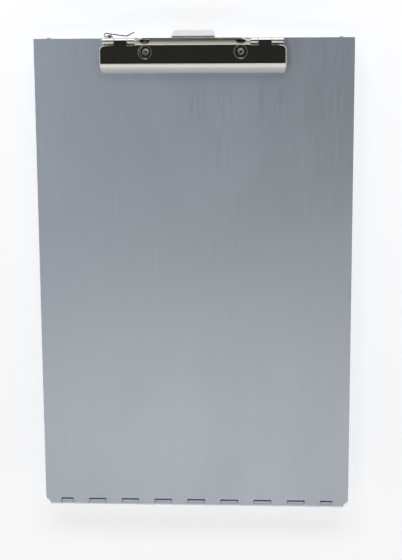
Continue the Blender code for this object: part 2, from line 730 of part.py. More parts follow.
tray_frame = axis_empty("tray_frame", (0, 0, 0), None)
cover_axis = axis_empty("cover_axis", (0, HINGE_Y, HINGE_Z), tray_frame)
jaw_axis = axis_empty("jaw_axis", (0, PIVOT_Y, PIVOT_Z), cover_axis)
leaf_axis = axis_empty("leaf_axis", (LEAF_RIVET_X, LEAF_Y, LEAF_Z), cover_axis)
latch_axis = axis_empty("latch_axis", (0, LATCH_Y, LATCH_RIVET_HEIGHT), tray_frame)

storage_tray()
hinge_pin()
latch()
cover_plate()
clip_base()
clip_rivets()
clip_jaw()
clip_pivot_pin()
clip_spring("clip_spring_left", -1)
clip_spring("clip_spring_right", 1)
pen_holder()

# Flat faces stay flat to the eye where they meet an edge
for part in parts.objects:
    if part.type == "MESH":
        part.modifiers.new("Shading", "WEIGHTED_NORMAL")
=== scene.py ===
"""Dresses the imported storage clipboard: satin aluminium board, polished clip, springs and rivets.

Lengths are metres and angles are degrees. +X is right, +Y runs up the board to the clip, +Z comes
out of the writing face. Each sheet piece is a plane that is cut, pulled and bent by its middle
surface, then thickened and given eased edges.
"""

import json
import math

import bmesh
import bpy
from mathutils import Matrix, Vector


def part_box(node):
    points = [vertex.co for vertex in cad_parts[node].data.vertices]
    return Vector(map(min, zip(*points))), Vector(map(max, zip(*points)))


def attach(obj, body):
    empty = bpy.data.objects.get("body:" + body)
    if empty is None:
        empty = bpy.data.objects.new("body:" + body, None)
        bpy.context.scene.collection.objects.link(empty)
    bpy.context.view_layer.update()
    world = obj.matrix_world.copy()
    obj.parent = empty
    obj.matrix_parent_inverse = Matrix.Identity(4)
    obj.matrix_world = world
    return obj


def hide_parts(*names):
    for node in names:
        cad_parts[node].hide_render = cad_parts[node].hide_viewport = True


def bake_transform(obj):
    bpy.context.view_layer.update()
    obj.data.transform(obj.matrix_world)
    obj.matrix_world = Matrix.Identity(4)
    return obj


# Sheet thicknesses, the gap that neighbours keep, and how edges are eased and shaded
COVER_SHEET = 0.0013
TRAY_SHEET = 0.0010
CLIP_SHEET = 0.0010
LEAF_SHEET = 0.0008
LATCH_SHEET = 0.0008
GAP = 0.0003
EDGE_EASE = 0.00018
FINE_EASE = EDGE_EASE / 2
RIM_EASE = 0.00070
HOLE_EASE = 0.00040
RIM_PROFILE = 0.3
ROD_EASE = 0.25
SHARP_ANGLE = 40
SMOOTH_ANGLE = 38
WIRE_SMOOTH_ANGLE = 60

# Board hinge
HINGE_PIN_RADIUS = 0.0012
HINGE_BORE = 0.0014
HINGE_WRAP = 260
HINGE_WINDOW = 0.0139
HINGE_END_WINDOW = 0.0095
HINGE_KNUCKLE = 0.0125
LEAST_END_KNUCKLE = 0.0100
HINGE_SIDE_PLAY = 0.0003
HINGE_WINDOW_GAP = 0.0009
HINGE_NOTCH_GAP = 0.0006
COVER_CHAMFER = 0.0036

# Tray
TRAY_INSET = 0.0008
TRAY_BEND = 0.0025
TRAY_HEM = 0.0060
HEM_BEND = 0.0012
HEM_SETBACK = 0.0015
CORNER_TAB = 0.0140

# Clip
CLIP_PIN_RADIUS = 0.0013
CLIP_BORE = 0.0015
CLIP_WRAP = 240
LEVER_WIDTH = 0.0862
INNER_EAR = 0.0057
JAW_CURL = 0.0101
END_EAR = 0.0088
EAR_SIDE_PLAY = 0.0002
JAW_OVERHANG = 0.0019
JAW_REACH = 0.0240
JAW_NOTCH_GAP = 0.0006
JAW_CORNER = 0.0040
CREASE_RADIUS = 0.0020
LIP_CREASE = 28
LIP_RADIUS = 0.0125
LIP_STEEP = 80
LIP_CORNER = 0.0040
LEVER_FILLET = 0.0009
LEVER_LEAN = 63
LEVER_TIP_LEAN = 76
LEVER_LENGTH = 0.0109
LEVER_TAPER = 0.0060
LEVER_TAPER_START = 0.25
LEVER_CORNER = 0.0010
ACCESS_HOLE_RADIUS = 0.0049
BASE_REACH = 0.0140
BASE_BEND = 0.0015

# Clip springs
SPRING_WIRE = 0.0008
SPRING_PIN_GAP = 0.0003
SPRING_TURNS = 6
SPRING_SPACE = 0.0006
SPRING_INSET = 0.0020
SPRING_BASE_LEG = 0.0110
SPRING_LEVER_LEG = 0.0040

# Rivets
RIVET_LEG_SPACE = 0.0054
RIVET_BACK = 0.0082
RIVET_SHANK = 0.0016
RIVET_BORE = 0.0010
RIVET_RING = 0.0025
RIVET_RING_HEIGHT = 0.0009
RIVET_HEAD = 0.0040
RIVET_HEAD_HEIGHT = 0.0008
RIVET_HEAD_EASE = 0.0004
STUD_SHANK = 0.0012
STUD_HEAD = 0.0022
STUD_HEAD_HEIGHT = 0.0008
STUD_DOME = 84
STUD_TAIL = 0.0020
STUD_TAIL_HEIGHT = 0.0006

# Pen holder
LEAF_HEIGHT = 0.0050
LEAF_TURN = 0.0013
LEAF_FOOT = 0.0052
LEAF_FOOT_INSET = 0.0007
LEAF_LENGTH = 0.0146
LEAF_SLOPE = 8
LEAF_FLARE_RADIUS = 0.0025
LEAF_FLARE = 33
LEAF_FLARE_LENGTH = 0.0064
LEAF_CORNER = 0.0012

# Latch
LATCH_WIDTH = 0.0324
LATCH_RIVET_SPACING = 0.0200
LATCH_TAIL = 0.0030
LATCH_RISE = 0.0004
LATCH_BEND = 0.0008
LATCH_SWEEP = 124
LATCH_LIP = 0.0045
LATCH_CORNER = 0.0035

# How finely round forms are divided
BEND_STEPS = 8
ROLL_STEPS = 28
LIP_STEPS = 20
CORNER_STEPS = 6
ROUND_SIDES = 48
COIL_STEPS = 20
LEG_STEPS = 4
WIRE_ROUNDNESS = 3
EASE_STEPS = 2
RIM_STEPS = 3

# Finishes: lumps a metre along X, Y and Z of a piece, and the depth of a finish's bump
GRAIN = (2400, 26, 2400)
STREAK = (240, 4, 240)
SCRATCH = (900, 60, 900)
SMUDGE = (14, 9, 14)
RIPPLE = (60, 90, 90)
RUBBING = (180, 2600, 2600)
DULL = (35, 60, 60)
WARMTH = (45, 45, 45)
DRAG = (900, 900, 5000)
DRAWN_LINE = (120, 4200, 4200)
OIL = (150, 150, 150)
BRUSHED_RELIEF = 0.000012
NICKEL_RELIEF = 0.00005
STEEL_RELIEF = 0.00001

# Sockets of a Mix node that mixes colours
MIX_AMOUNT = 0
MIX_FIRST = 6
MIX_SECOND = 7
MIX_COLOUR = 2

# Camera
PHOTO_WIDTH = 402
PHOTO_HEIGHT = 560
FOCAL_PIXELS = 1324
CAMERA_PLACE = (0.0598, 0.1874, 1.0307)
CAMERA_TARGET = (0.0048, -0.0001, 0.0254)
CAMERA_ROLL = -0.33
SENSOR = 36

# Tent, with heights from 0 at the horizon to 1 overhead, and floor
TENT_TILT = 0.2
TENT_OPENING = 0.789
TENT_WALLS = 0.360
TENT_GLOW = 0.87
TENT_DARK = 0.024
TENT_FOOT_GLOW = 0.74
TENT_FOOT_TOP = 0.4
FLOOR_SIZE = 12
FLOOR_WHITE = 0.93
FLOOR_ROUGHNESS = 0.9
FLOOR_GLOW = 0.43

# Softboxes: place, width, depth, brightness and colour
WARM_WHITE = (1.04, 1.0, 0.95)
COOL_WHITE = (0.98, 1.0, 1.04)
SKY_WHITE = (0.96, 1.0, 1.08)
SOFTBOXES = {
    "softbox_hinge": ((0.0, -0.745, 2.0), 1.8, 0.26, 2.7, WARM_WHITE),
    "softbox_left": ((-0.76, 0.45, 2.0), 0.34, 1.2, 1.6, SKY_WHITE),
    "softbox_right": ((0.80, 0.45, 2.0), 0.34, 1.2, 0.55, SKY_WHITE),
    "softbox_clip": ((0.0, 1.85, 1.4), 2.2, 1.1, 3.2, COOL_WHITE),
}

TINY = 1e-6

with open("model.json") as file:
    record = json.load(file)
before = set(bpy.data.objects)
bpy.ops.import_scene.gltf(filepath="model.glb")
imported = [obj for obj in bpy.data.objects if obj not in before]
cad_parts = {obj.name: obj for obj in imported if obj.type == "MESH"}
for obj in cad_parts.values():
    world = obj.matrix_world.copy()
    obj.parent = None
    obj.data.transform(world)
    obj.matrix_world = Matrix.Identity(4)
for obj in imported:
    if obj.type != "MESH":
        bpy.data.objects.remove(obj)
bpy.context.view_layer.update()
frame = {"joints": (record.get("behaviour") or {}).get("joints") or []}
joint_places = {joint["name"]: Vector(joint["pos_m"]) for joint in frame["joints"]}

# Places that follow from the frame and the sizes above
HINGE = joint_places["cover_hinge"]
PIVOT = joint_places["jaw_pivot"]
LATCH = joint_places["latch_flex"]
LEAF = joint_places["pen_flex"]
COVER_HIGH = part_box("cover_plate")[1]
HALF_WIDTH = COVER_HIGH.x
TOP = COVER_HIGH.y
FACE = COVER_HIGH.z
RIM = FACE - COVER_SHEET - GAP
COVER_ROLL = HINGE_BORE + COVER_SHEET
TRAY_ROLL = HINGE_BORE + TRAY_SHEET
CLIP_ROLL = CLIP_BORE + CLIP_SHEET
CLIP_MIDDLE = CLIP_BORE + CLIP_SHEET / 2
BASE_TOP = FACE + GAP + CLIP_SHEET
LEVER_END = LEVER_WIDTH / 2
INNER_EAR_END = LEVER_END + INNER_EAR
CURL_END = INNER_EAR_END + JAW_CURL
END_EAR_END = CURL_END + END_EAR
JAW_END = END_EAR_END + JAW_OVERHANG
JAW_ROW_Y = PIVOT.y - CLIP_ROLL - JAW_NOTCH_GAP
JAW_Z = PIVOT.z + CLIP_MIDDLE
LEVER_HOLLOW = LEVER_LENGTH / math.radians(LEVER_TIP_LEAN - LEVER_LEAN)
SPRING_X = LEVER_END - SPRING_INSET
RIVET_X = SPRING_X - RIVET_LEG_SPACE
RIVET_Y = PIVOT.y - RIVET_BACK
TRAY_WALL_X = HALF_WIDTH - TRAY_INSET - TRAY_SHEET / 2
TRAY_TOP_Y = TOP - TRAY_SHEET / 2
TRAY_HINGE_Y = HINGE.y - TRAY_ROLL + TRAY_SHEET / 2
TRAY_NOTCH_Z = HINGE.z - COVER_ROLL - HINGE_NOTCH_GAP
TAB_BEND = TRAY_BEND - TRAY_SHEET - GAP


# Shader maths
class Wire:
    """A socket's value in a node tree. Arithmetic on it adds Math nodes to that tree."""

    def __init__(self, nodes, socket):
        self.nodes = nodes
        self.socket = socket

    def math(self, operation, first, second):
        return self.nodes.add("ShaderNodeMath", {"operation": operation}, {0: first, 1: second})

    def __add__(self, other):
        return self.math("ADD", self, other)

    def __radd__(self, other):
        return self.math("ADD", other, self)

    def __sub__(self, other):
        return self.math("SUBTRACT", self, other)

    def __rsub__(self, other):
        return self.math("SUBTRACT", other, self)

    def __mul__(self, other):
        return self.math("MULTIPLY", self, other)

    def __rmul__(self, other):
        return self.math("MULTIPLY", other, self)

    def beside(self, output):
        """Another output of the same node."""
        return Wire(self.nodes, self.socket.node.outputs[output])


class Nodes:
    """The nodes of one material or of the world, all added by one method."""

    def __init__(self, tree):
        self.tree = tree

    def add(self, kind, settings=None, values=None, output=0):
        """Adds a node with its settings, then with its sockets' values or links."""
        node = self.tree.nodes.new(kind)
        for key, setting in (settings or {}).items():
            setattr(node, key, setting)
        for key, value in (values or {}).items():
            self.feed(node.inputs[key], value)
        return Wire(self, node.outputs[output])

    def feed(self, socket, value):
        """Links a wire to a socket, or sets the socket's own value."""
        if isinstance(value, Wire):
            self.tree.links.new(value.socket, socket)
        elif socket.type == "RGBA":
            socket.default_value = (*value, 1)
        else:
            socket.default_value = value


def noise(nodes, lumps, detail=2.0, roughness=0.5):
    """A cloud from 0 to 1 with so many lumps a metre along X, Y and Z of the piece."""
    place = nodes.add("ShaderNodeTexCoord", output="Object")
    stretched = nodes.add("ShaderNodeMapping", {}, {"Vector": place, "Scale": lumps})
    values = {"Vector": stretched, "Scale": 1.0, "Detail": detail, "Roughness": roughness}
    return nodes.add("ShaderNodeTexNoise", {}, values, "Fac")


def rise(nodes, value, low, high):
    """0 at low, 1 at high and a soft step between them."""
    values = {"Value": value, "From Min": low, "From Max": high}
    return nodes.add("ShaderNodeMapRange", {"interpolation_type": "SMOOTHSTEP"}, values)


def tint(nodes, amount, first, second):
    """A colour that goes from the first to the second with an amount from 0 to 1."""
    values = {MIX_AMOUNT: amount, MIX_FIRST: first, MIX_SECOND: second}
    return nodes.add("ShaderNodeMix", {"data_type": "RGBA"}, values, MIX_COLOUR)


def start_finish(name):
    """A new material and its nodes."""
    material = bpy.data.materials.new(name)
    material.use_nodes = True
    return material, Nodes(material.node_tree)


def bare_metal(material, nodes, colour, roughness, height, relief):
    """Feeds the finish's wires to its shader, with the height as a bump of so much relief."""
    shader = material.node_tree.nodes["Principled BSDF"]
    shader.inputs["Metallic"].default_value = 1.0
    values = {"Strength": 1.0, "Distance": relief, "Height": height}
    bump = nodes.add("ShaderNodeBump", {}, values, "Normal")
    nodes.feed(shader.inputs["Base Color"], colour)
    nodes.feed(shader.inputs["Roughness"], roughness)
    nodes.feed(shader.inputs["Normal"], bump)
    return material


# Finishes
def brushed_aluminium(name, dark, light, rough=0.385):
    """Satin sheet: fine grain along the board, faint streaks, short scratches and smudges."""
    material, nodes = start_finish(name)
    grain = rise(nodes, noise(nodes, GRAIN, 3.0, 0.6), 0.28, 0.72)
    streak = rise(nodes, noise(nodes, STREAK, 3.0, 0.6), 0.25, 0.75)
    scratch = rise(nodes, noise(nodes, SCRATCH, 1.0, 0.4), 0.70, 0.80)
    smudge = rise(nodes, noise(nodes, SMUDGE, 3.0, 0.6), 0.45, 0.70)
    colour = tint(nodes, grain * 0.55 + streak * 0.15 + scratch * 0.2, dark, light)
    roughness = rough + grain * 0.06 + smudge * 0.03 - scratch * 0.08
    return bare_metal(material, nodes, colour, roughness, grain - scratch, BRUSHED_RELIEF)


def polished_nickel(name, dark=(0.72, 0.705, 0.635), light=(0.82, 0.81, 0.75)):
    """Bright plating on a stamping: slightly uneven, with fine rubbing marks and dull patches."""
    material, nodes = start_finish(name)
    ripple = noise(nodes, RIPPLE, 2.0, 0.4)
    rubbing = rise(nodes, noise(nodes, RUBBING, 4.0, 0.7), 0.62, 0.80)
    dull = rise(nodes, noise(nodes, DULL, 4.0, 0.6), 0.50, 0.80)
    warmth = noise(nodes, WARMTH, 3.0, 0.6)
    colour = tint(nodes, warmth, dark, light)
    roughness = 0.06 + dull * 0.05 + rubbing * 0.10
    return bare_metal(material, nodes, colour, roughness, ripple, NICKEL_RELIEF)


def sheared_edge(name, dark, light):
    """The cut edge of a sheet: brighter and coarser than its face, with fine drag lines."""
    material, nodes = start_finish(name)
    drag = noise(nodes, DRAG, 3.0, 0.6)
    colour = tint(nodes, drag, dark, light)
    return bare_metal(material, nodes, colour, 0.28 + drag * 0.14, drag, STEEL_RELIEF)


def drawn_steel(name, dark, light):
    """Rod and wire: drawn lines along X, with darker patches of oil."""
    material, nodes = start_finish(name)
    line = noise(nodes, DRAWN_LINE, 3.0, 0.6)
    oil = rise(nodes, noise(nodes, OIL, 3.0, 0.6), 0.40, 0.75)
    colour = tint(nodes, line * 0.5 + oil * 0.5, light, dark)
    return bare_metal(material, nodes, colour, 0.20 + line * 0.16, line, STEEL_RELIEF)


# Modelling by hand
def deselect():
    bpy.ops.object.select_all(action="DESELECT")


def flat_sheet(name, x_span, y_span, z, cuts=(), cross_cuts=(), finishes=()):
    """Adds a flat sheet as a plane, cut at places along X and Y, and leaves it in edit mode."""
    deselect()
    middle = (sum(x_span) / 2, sum(y_span) / 2, z)
    bpy.ops.mesh.primitive_plane_add(size=1, location=middle)
    piece = start_piece(name, (x_span[1] - x_span[0], y_span[1] - y_span[0], 1), finishes)
    for x in cuts:
        cut((x, 0, 0), (1, 0, 0))
    for y in cross_cuts:
        cut((0, y, 0), (0, 1, 0))
    return piece


def upright_sheet(name, x_span, z_span, y, finishes=()):
    """Adds a sheet that stands across Y as a plane, and leaves it in edit mode."""
    deselect()
    middle = (sum(x_span) / 2, y, sum(z_span) / 2)
    bpy.ops.mesh.primitive_plane_add(size=1, location=middle, rotation=(math.radians(90), 0, 0))
    return start_piece(name, (x_span[1] - x_span[0], z_span[1] - z_span[0], 1), finishes)


def start_piece(name, scale, finishes):
    """Names and scales the form just added, gives it its finishes and leaves it in edit mode."""
    piece = bpy.context.object
    piece.name = name
    piece.data.name = name
    piece.scale = scale
    bpy.ops.object.transform_apply(location=True, rotation=True, scale=True)
    for finish in finishes:
        piece.data.materials.append(finish)
    bpy.ops.object.mode_set(mode="EDIT")
    return piece


def cut(place, normal):
    """Cuts the whole sheet along a plane and keeps both sides."""
    bpy.ops.mesh.select_all(action="SELECT")
    bpy.ops.mesh.bisect(plane_co=place, plane_no=normal)


def pick(inside, kind="EDGE"):
    """Selects the edges, or the points, whose ends all pass a test on their place."""
    bpy.ops.mesh.select_mode(type=kind)
    bpy.ops.mesh.select_all(action="DESELECT")
    mesh = bpy.context.object.data
    cage = bmesh.from_edit_mesh(mesh)
    if kind == "EDGE":
        for edge in cage.edges:
            edge.select_set(all(inside(end.co) for end in edge.verts))
    else:
        for point in cage.verts:
            point.select_set(inside(point.co))
    bmesh.update_edit_mesh(mesh)


def pick_row(span, y, z):
    """Selects the edges of a row along X between two places."""

    def inside(place):
        on_row = abs(place.y - y) < TINY and abs(place.z - z) < TINY
        return on_row and span[0] - TINY < place.x < span[1] + TINY

    pick(inside)


def pull(x, y, z):
    """Extrudes the selected edges by a distance."""
    bpy.ops.mesh.extrude_region_move(TRANSFORM_OT_translate={"value": (x, y, z)})


def bend(degrees, centre, axis, steps):
    """Extrudes the selected edges round an axis, by the right-hand rule."""
    bpy.ops.mesh.spin(steps=steps, angle=-math.radians(degrees), center=centre, axis=axis)


def round_corner(inside, radius):
    """Rounds the sheet's corners at the points that pass a test."""
    pick(inside, "VERT")
    bpy.ops.mesh.bevel(affect="VERTICES", offset=radius, segments=CORNER_STEPS, clamp_overlap=True)


def draw_in(inside, reach, new_reach):
    """Moves points that lie a reach from the middle, and pass a test, to a new reach."""
    pick(lambda place: abs(place.x) > reach - TINY and inside(place), "VERT")
    bpy.ops.transform.resize(value=(new_reach / reach, 1, 1), center_override=(0, 0, 0))


def draw_in_row(y, z, reach, new_reach):
    """Moves the ends of a row along X to a new reach."""
    draw_in(lambda place: abs(place.y - y) < TINY and abs(place.z - z) < TINY, reach, new_reach)


def apply_modifier(piece, kind, **settings):
    """Adds a modifier to the active piece and applies it at once."""
    bpy.ops.object.modifier_add(type=kind)
    modifier = piece.modifiers[-1]
    for key, setting in settings.items():
        setattr(modifier, key, setting)
    bpy.ops.object.modifier_apply(modifier=modifier.name)


def thicken(piece, thickness):
    """Ends edit mode and gives the sheet its thickness, with the second finish on its cut edges."""
    bpy.ops.mesh.select_all(action="SELECT")
    bpy.ops.mesh.normals_make_consistent(inside=False)
    bpy.ops.object.mode_set(mode="OBJECT")
    apply_modifier(
        piece,
        "SOLIDIFY",
        thickness=thickness,
        offset=0,
        use_even_offset=True,
        material_offset_rim=1,
    )


def ease(piece, width=EDGE_EASE):
    """Rounds every sharp edge a little and shades the round forms smooth."""
    apply_modifier(
        piece,
        "BEVEL",
        width=width,
        segments=EASE_STEPS,
        limit_method="ANGLE",
        angle_limit=math.radians(SHARP_ANGLE),
    )
    shade(piece)


def ease_by_weight(piece, rims):
    """Rounds every sharp edge a little, and each rim, an edge test with a width, by more."""
    widest = max(width for inside, width in rims)
    bpy.ops.object.mode_set(mode="EDIT")
    bpy.ops.mesh.select_mode(type="EDGE")
    bpy.ops.mesh.select_all(action="DESELECT")
    bpy.ops.mesh.edges_select_sharp(sharpness=math.radians(SHARP_ANGLE))
    bpy.ops.transform.edge_bevelweight(value=EDGE_EASE / widest)
    for inside, width in rims:
        pick_rim(inside)
        bpy.ops.transform.edge_bevelweight(value=(width - EDGE_EASE) / widest)
    bpy.ops.object.mode_set(mode="OBJECT")
    apply_modifier(
        piece,
        "BEVEL",
        width=widest,
        segments=RIM_STEPS,
        profile=RIM_PROFILE,
        limit_method="WEIGHT",
    )
    shade(piece)


def pick_rim(inside):
    """Selects the edges round the outside of a thickened sheet that pass a test on their place."""
    bpy.ops.mesh.select_all(action="DESELECT")
    mesh = bpy.context.object.data
    cage = bmesh.from_edit_mesh(mesh)
    for edge in cage.edges:
        sides = sorted(edge.link_faces, key=lambda face: face.material_index)
        on_rim = len(sides) == 2 and sides[0].material_index < sides[1].material_index
        outside = on_rim and sides[0].normal.z > TINY
        edge.select_set(outside and all(inside(end.co) for end in edge.verts))
    bmesh.update_edit_mesh(mesh)


def shade(piece):
    """Shades the round forms smooth and keeps the flat faces flat."""
    bpy.ops.object.shade_smooth_by_angle(angle=math.radians(SMOOTH_ANGLE))
    apply_modifier(piece, "WEIGHTED_NORMAL", keep_sharp=True)


def punch(piece, places, radius, depth):
    """Cuts round holes along Z through a piece."""
    for place in places:
        deselect()
        bpy.ops.mesh.primitive_cylinder_add(
            vertices=ROUND_SIDES, radius=radius, depth=depth, location=place
        )
        cutter = bpy.context.object
        deselect()
        bpy.context.view_layer.objects.active = piece
        piece.select_set(True)
        apply_modifier(piece, "BOOLEAN", operation="DIFFERENCE", object=cutter)
        bpy.data.objects.remove(cutter)


def settle(piece, body, slot, *nodes):
    """Hands the piece to its body in place of the solids that it stands for."""
    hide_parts(*nodes)
    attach(piece, body)


def turned(name, profile, place, tilt, finish):
    """A round piece, pulled ring by ring down its profile from the top, then tilted about X."""
    deselect()
    first_radius, first_height = profile[0]
    bpy.ops.mesh.primitive_circle_add(
        vertices=ROUND_SIDES, radius=first_radius, fill_type="NGON", location=(0, 0, first_height)
    )
    piece = start_piece(name, (1, 1, 1), [finish])
    bpy.ops.mesh.select_all(action="SELECT")
    for (radius, height), (new_radius, new_height) in zip(profile, profile[1:]):
        pull(0, 0, new_height - height)
        spread = new_radius / radius
        bpy.ops.transform.resize(value=(spread, spread, 1), center_override=(0, 0, 0))
    bpy.ops.mesh.select_all(action="SELECT")
    bpy.ops.mesh.normals_make_consistent(inside=False)
    bpy.ops.object.mode_set(mode="OBJECT")
    piece.location = place
    piece.rotation_euler = (math.radians(tilt), 0, 0)
    bpy.ops.object.transform_apply(location=True, rotation=True, scale=True)
    return piece


def arc(centre, radius, start, end, steps):
    """Points on an arc in a plane, its first one too."""
    points = []
    for step in range(steps + 1):
        angle = math.radians(start + (end - start) * step / steps)
        points.append((centre[0] + radius * math.cos(angle), centre[1] + radius * math.sin(angle)))
    return points


def both_sides(spans):
    """Spans of x on the right, with their mirror images on the left before them."""
    return [(-high, -low) for low, high in spans] + list(spans)


def hinge_windows():
    """The spans of x that are cut from the cover for the tray's knuckles, from left to right."""
    pitch = HINGE_WINDOW + HINGE_KNUCKLE
    ends = 2 * (LEAST_END_KNUCKLE + HINGE_END_WINDOW) + HINGE_KNUCKLE
    count = int((2 * HALF_WIDTH - ends) / pitch)
    middles = [(index - (count - 1) / 2) * pitch for index in range(count)]
    inner = [(middle - HINGE_WINDOW / 2, middle + HINGE_WINDOW / 2) for middle in middles]
    outer_start = (count * pitch + HINGE_KNUCKLE) / 2
    return sorted(inner + both_sides([(outer_start, outer_start + HINGE_END_WINDOW)]))


# Pieces of the board
def writing_cover():
    """The writing plate, rolled round the hinge rod between the windows along its bottom edge."""
    stations = [end for window in hinge_windows() for end in window]
    edges = [-HALF_WIDTH] + stations + [HALF_WIDTH]
    knuckles = list(zip(edges[0::2], edges[1::2]))
    z = FACE - COVER_SHEET / 2
    window_y = HINGE.y + TRAY_ROLL + HINGE_WINDOW_GAP
    cover = flat_sheet(
        "writing_cover",
        (-HALF_WIDTH, HALF_WIDTH),
        (window_y, TOP),
        z,
        stations,
        finishes=[COVER_FINISH, COVER_EDGE],
    )
    for knuckle in knuckles:
        pick_row(knuckle, window_y, z)
        pull(0, HINGE.y - window_y, 0)
        bend(HINGE_WRAP, HINGE, (1, 0, 0), ROLL_STEPS)
    draw_in(lambda place: place.y < window_y - TINY, HALF_WIDTH, HALF_WIDTH - COVER_CHAMFER)
    thicken(cover, COVER_SHEET)
    ease(cover)
    settle(cover, "cover", "cover_aluminium", "cover_plate")


def folded_tray():
    """One folded sheet: back, hemmed sides, end walls, hinge knuckles and lapped corner tabs."""
    knuckles = [(low + HINGE_SIDE_PLAY, high - HINGE_SIDE_PLAY) for low, high in hinge_windows()]
    flat_x = TRAY_WALL_X - TRAY_BEND
    back_z = TRAY_SHEET / 2
    fold_z = back_z + TRAY_BEND
    hem_z = RIM - TRAY_SHEET / 2
    wall_top = hem_z - HEM_BEND
    top_fold_y = TRAY_TOP_Y - TRAY_BEND
    hinge_fold_y = TRAY_HINGE_Y + TRAY_BEND
    hem_start = HINGE.y + COVER_ROLL + HEM_SETBACK
    stations = [end for knuckle in knuckles for end in knuckle]
    tray = flat_sheet(
        "folded_tray",
        (-flat_x, flat_x),
        (hinge_fold_y, top_fold_y),
        back_z,
        stations,
        [hem_start],
        finishes=[TRAY_FINISH, TRAY_EDGE],
    )
    for side in (-1, 1):
        wall_x = side * TRAY_WALL_X
        pick(lambda place: abs(place.x - side * flat_x) < TINY)
        bend(-side * 90, (side * flat_x, 0, fold_z), (0, 1, 0), BEND_STEPS)
        pull(0, 0, TRAY_NOTCH_Z - fold_z)
        pull(0, 0, wall_top - TRAY_NOTCH_Z)
        pick(
            lambda place: place.z > wall_top - TINY
            and place.y > hem_start - TINY
            and side * place.x > 0
        )
        bend(-side * 90, (wall_x - side * HEM_BEND, 0, wall_top), (0, 1, 0), BEND_STEPS)
        pull(-side * (TRAY_HEM - HEM_BEND), 0, 0)
    pick_row((-flat_x, flat_x), top_fold_y, back_z)
    bend(90, (0, top_fold_y, fold_z), (1, 0, 0), BEND_STEPS)
    pull(0, 0, RIM - fold_z)
    pick_row((-flat_x, flat_x), hinge_fold_y, back_z)
    bend(-90, (0, hinge_fold_y, fold_z), (1, 0, 0), BEND_STEPS)
    pull(0, 0, TRAY_NOTCH_Z - fold_z)
    for knuckle in knuckles:
        pick_row(knuckle, TRAY_HINGE_Y, TRAY_NOTCH_Z)
        pull(0, 0, HINGE.z - TRAY_NOTCH_Z)
        bend(-HINGE_WRAP, HINGE, (1, 0, 0), ROLL_STEPS)

    for fold_y, way in ((top_fold_y, 1), (hinge_fold_y, -1)):
        for side in (-1, 1):
            wall_x = side * TRAY_WALL_X

            def on_wall_end(place):
                on_wall = abs(place.x - wall_x) < TINY and abs(place.y - fold_y) < TINY
                return on_wall and fold_z - TINY < place.z < TRAY_NOTCH_Z + TINY

            pick(on_wall_end)
            bend(side * way * 90, (wall_x - side * TAB_BEND, fold_y, 0), (0, 0, 1), BEND_STEPS)
            pull(-side * CORNER_TAB, 0, 0)
    thicken(tray, TRAY_SHEET)
    ease(tray)
    settle(tray, "tray", "tray_aluminium", "storage_tray")


def corner_rivets():
    """Four small rivets, one through each lapped corner of the tray."""
    rivet_x = TRAY_WALL_X - TAB_BEND - CORNER_TAB / 2
    rivet_z = (TRAY_SHEET / 2 + TRAY_BEND + TRAY_NOTCH_Z) / 2
    grip = 2 * TRAY_SHEET + GAP
    for end, y, tilt in (("top", TOP, -90), ("bottom", TRAY_HINGE_Y - TRAY_SHEET / 2, 90)):
        for hand, x in (("left", -rivet_x), ("right", rivet_x)):
            name = f"corner_rivet_{end}_{hand}"
            stud(f"tray_stud_{end}_{hand}", grip, (x, y, rivet_z), tilt, "tray", name)


def stud(name, grip, place, tilt, body, node):
    """A small solid rivet: a domed head in front of its seat, a flat tail behind the grip."""
    tail = -grip - GAP
    profile = []
    for across, height in arc((0, 0), 1, STUD_DOME, 0, CORNER_STEPS):
        profile.append((STUD_HEAD * across, GAP + STUD_HEAD_HEIGHT * height))
    profile += [
        (STUD_SHANK, GAP),
        (STUD_SHANK, tail),
        (STUD_TAIL, tail),
        (STUD_TAIL, tail - STUD_TAIL_HEIGHT),
    ]
    rivet = turned(name, profile, place, tilt, RIVET_FINISH)
    ease(rivet, FINE_EASE)
    settle(rivet, body, "rivet_metal", node)


def rod(name, radius, half_length, y, z, body, node):
    """A round rod along X with eased ends."""
    deselect()
    bpy.ops.mesh.primitive_cylinder_add(
        vertices=ROUND_SIDES,
        radius=radius,
        depth=2 * half_length,
        location=(0, y, z),
        rotation=(0, math.radians(90), 0),
    )
    piece = start_piece(name, (1, 1, 1), [ROD_FINISH])
    bpy.ops.object.mode_set(mode="OBJECT")
    ease(piece, radius * ROD_EASE)
    settle(piece, body, "pin_steel", node)


def latch_strip():
    """A sprung strip on the tray's top wall, with a thumb lip behind the cover's top edge."""
    half = LATCH_WIDTH / 2
    foot_z = LATCH.z - LATCH_TAIL
    bend_z = FACE + LATCH_RISE
    slope = math.radians(LATCH_SWEEP)
    strip = upright_sheet(
        "latch_strip", (-half, half), (foot_z, bend_z), LATCH.y, [LATCH_FINISH, CLIP_EDGE]
    )
    pick_row((-half, half), LATCH.y, bend_z)
    bend(-LATCH_SWEEP, (0, LATCH.y + LATCH_BEND, bend_z), (1, 0, 0), BEND_STEPS)
    pull(0, LATCH_LIP * math.sin(slope), LATCH_LIP * math.cos(slope))
    tip_y = LATCH.y + LATCH_BEND * (1 - math.cos(slope)) + LATCH_LIP * math.sin(slope)
    round_corner(lambda place: place.y > tip_y - TINY or place.z < foot_z + TINY, LATCH_CORNER)
    thicken(strip, LATCH_SHEET)
    ease(strip)
    settle(strip, "latch", "spring_steel", "latch_tab")
    for hand, x in (("left", -LATCH_RIVET_SPACING / 2), ("right", LATCH_RIVET_SPACING / 2)):
        seat = (x, LATCH.y + LATCH_SHEET / 2, LATCH.z)
        grip = LATCH_SHEET + GAP + TRAY_SHEET
        stud(f"latch_stud_{hand}", grip, seat, -90, "tray", f"latch_rivet_{hand}")


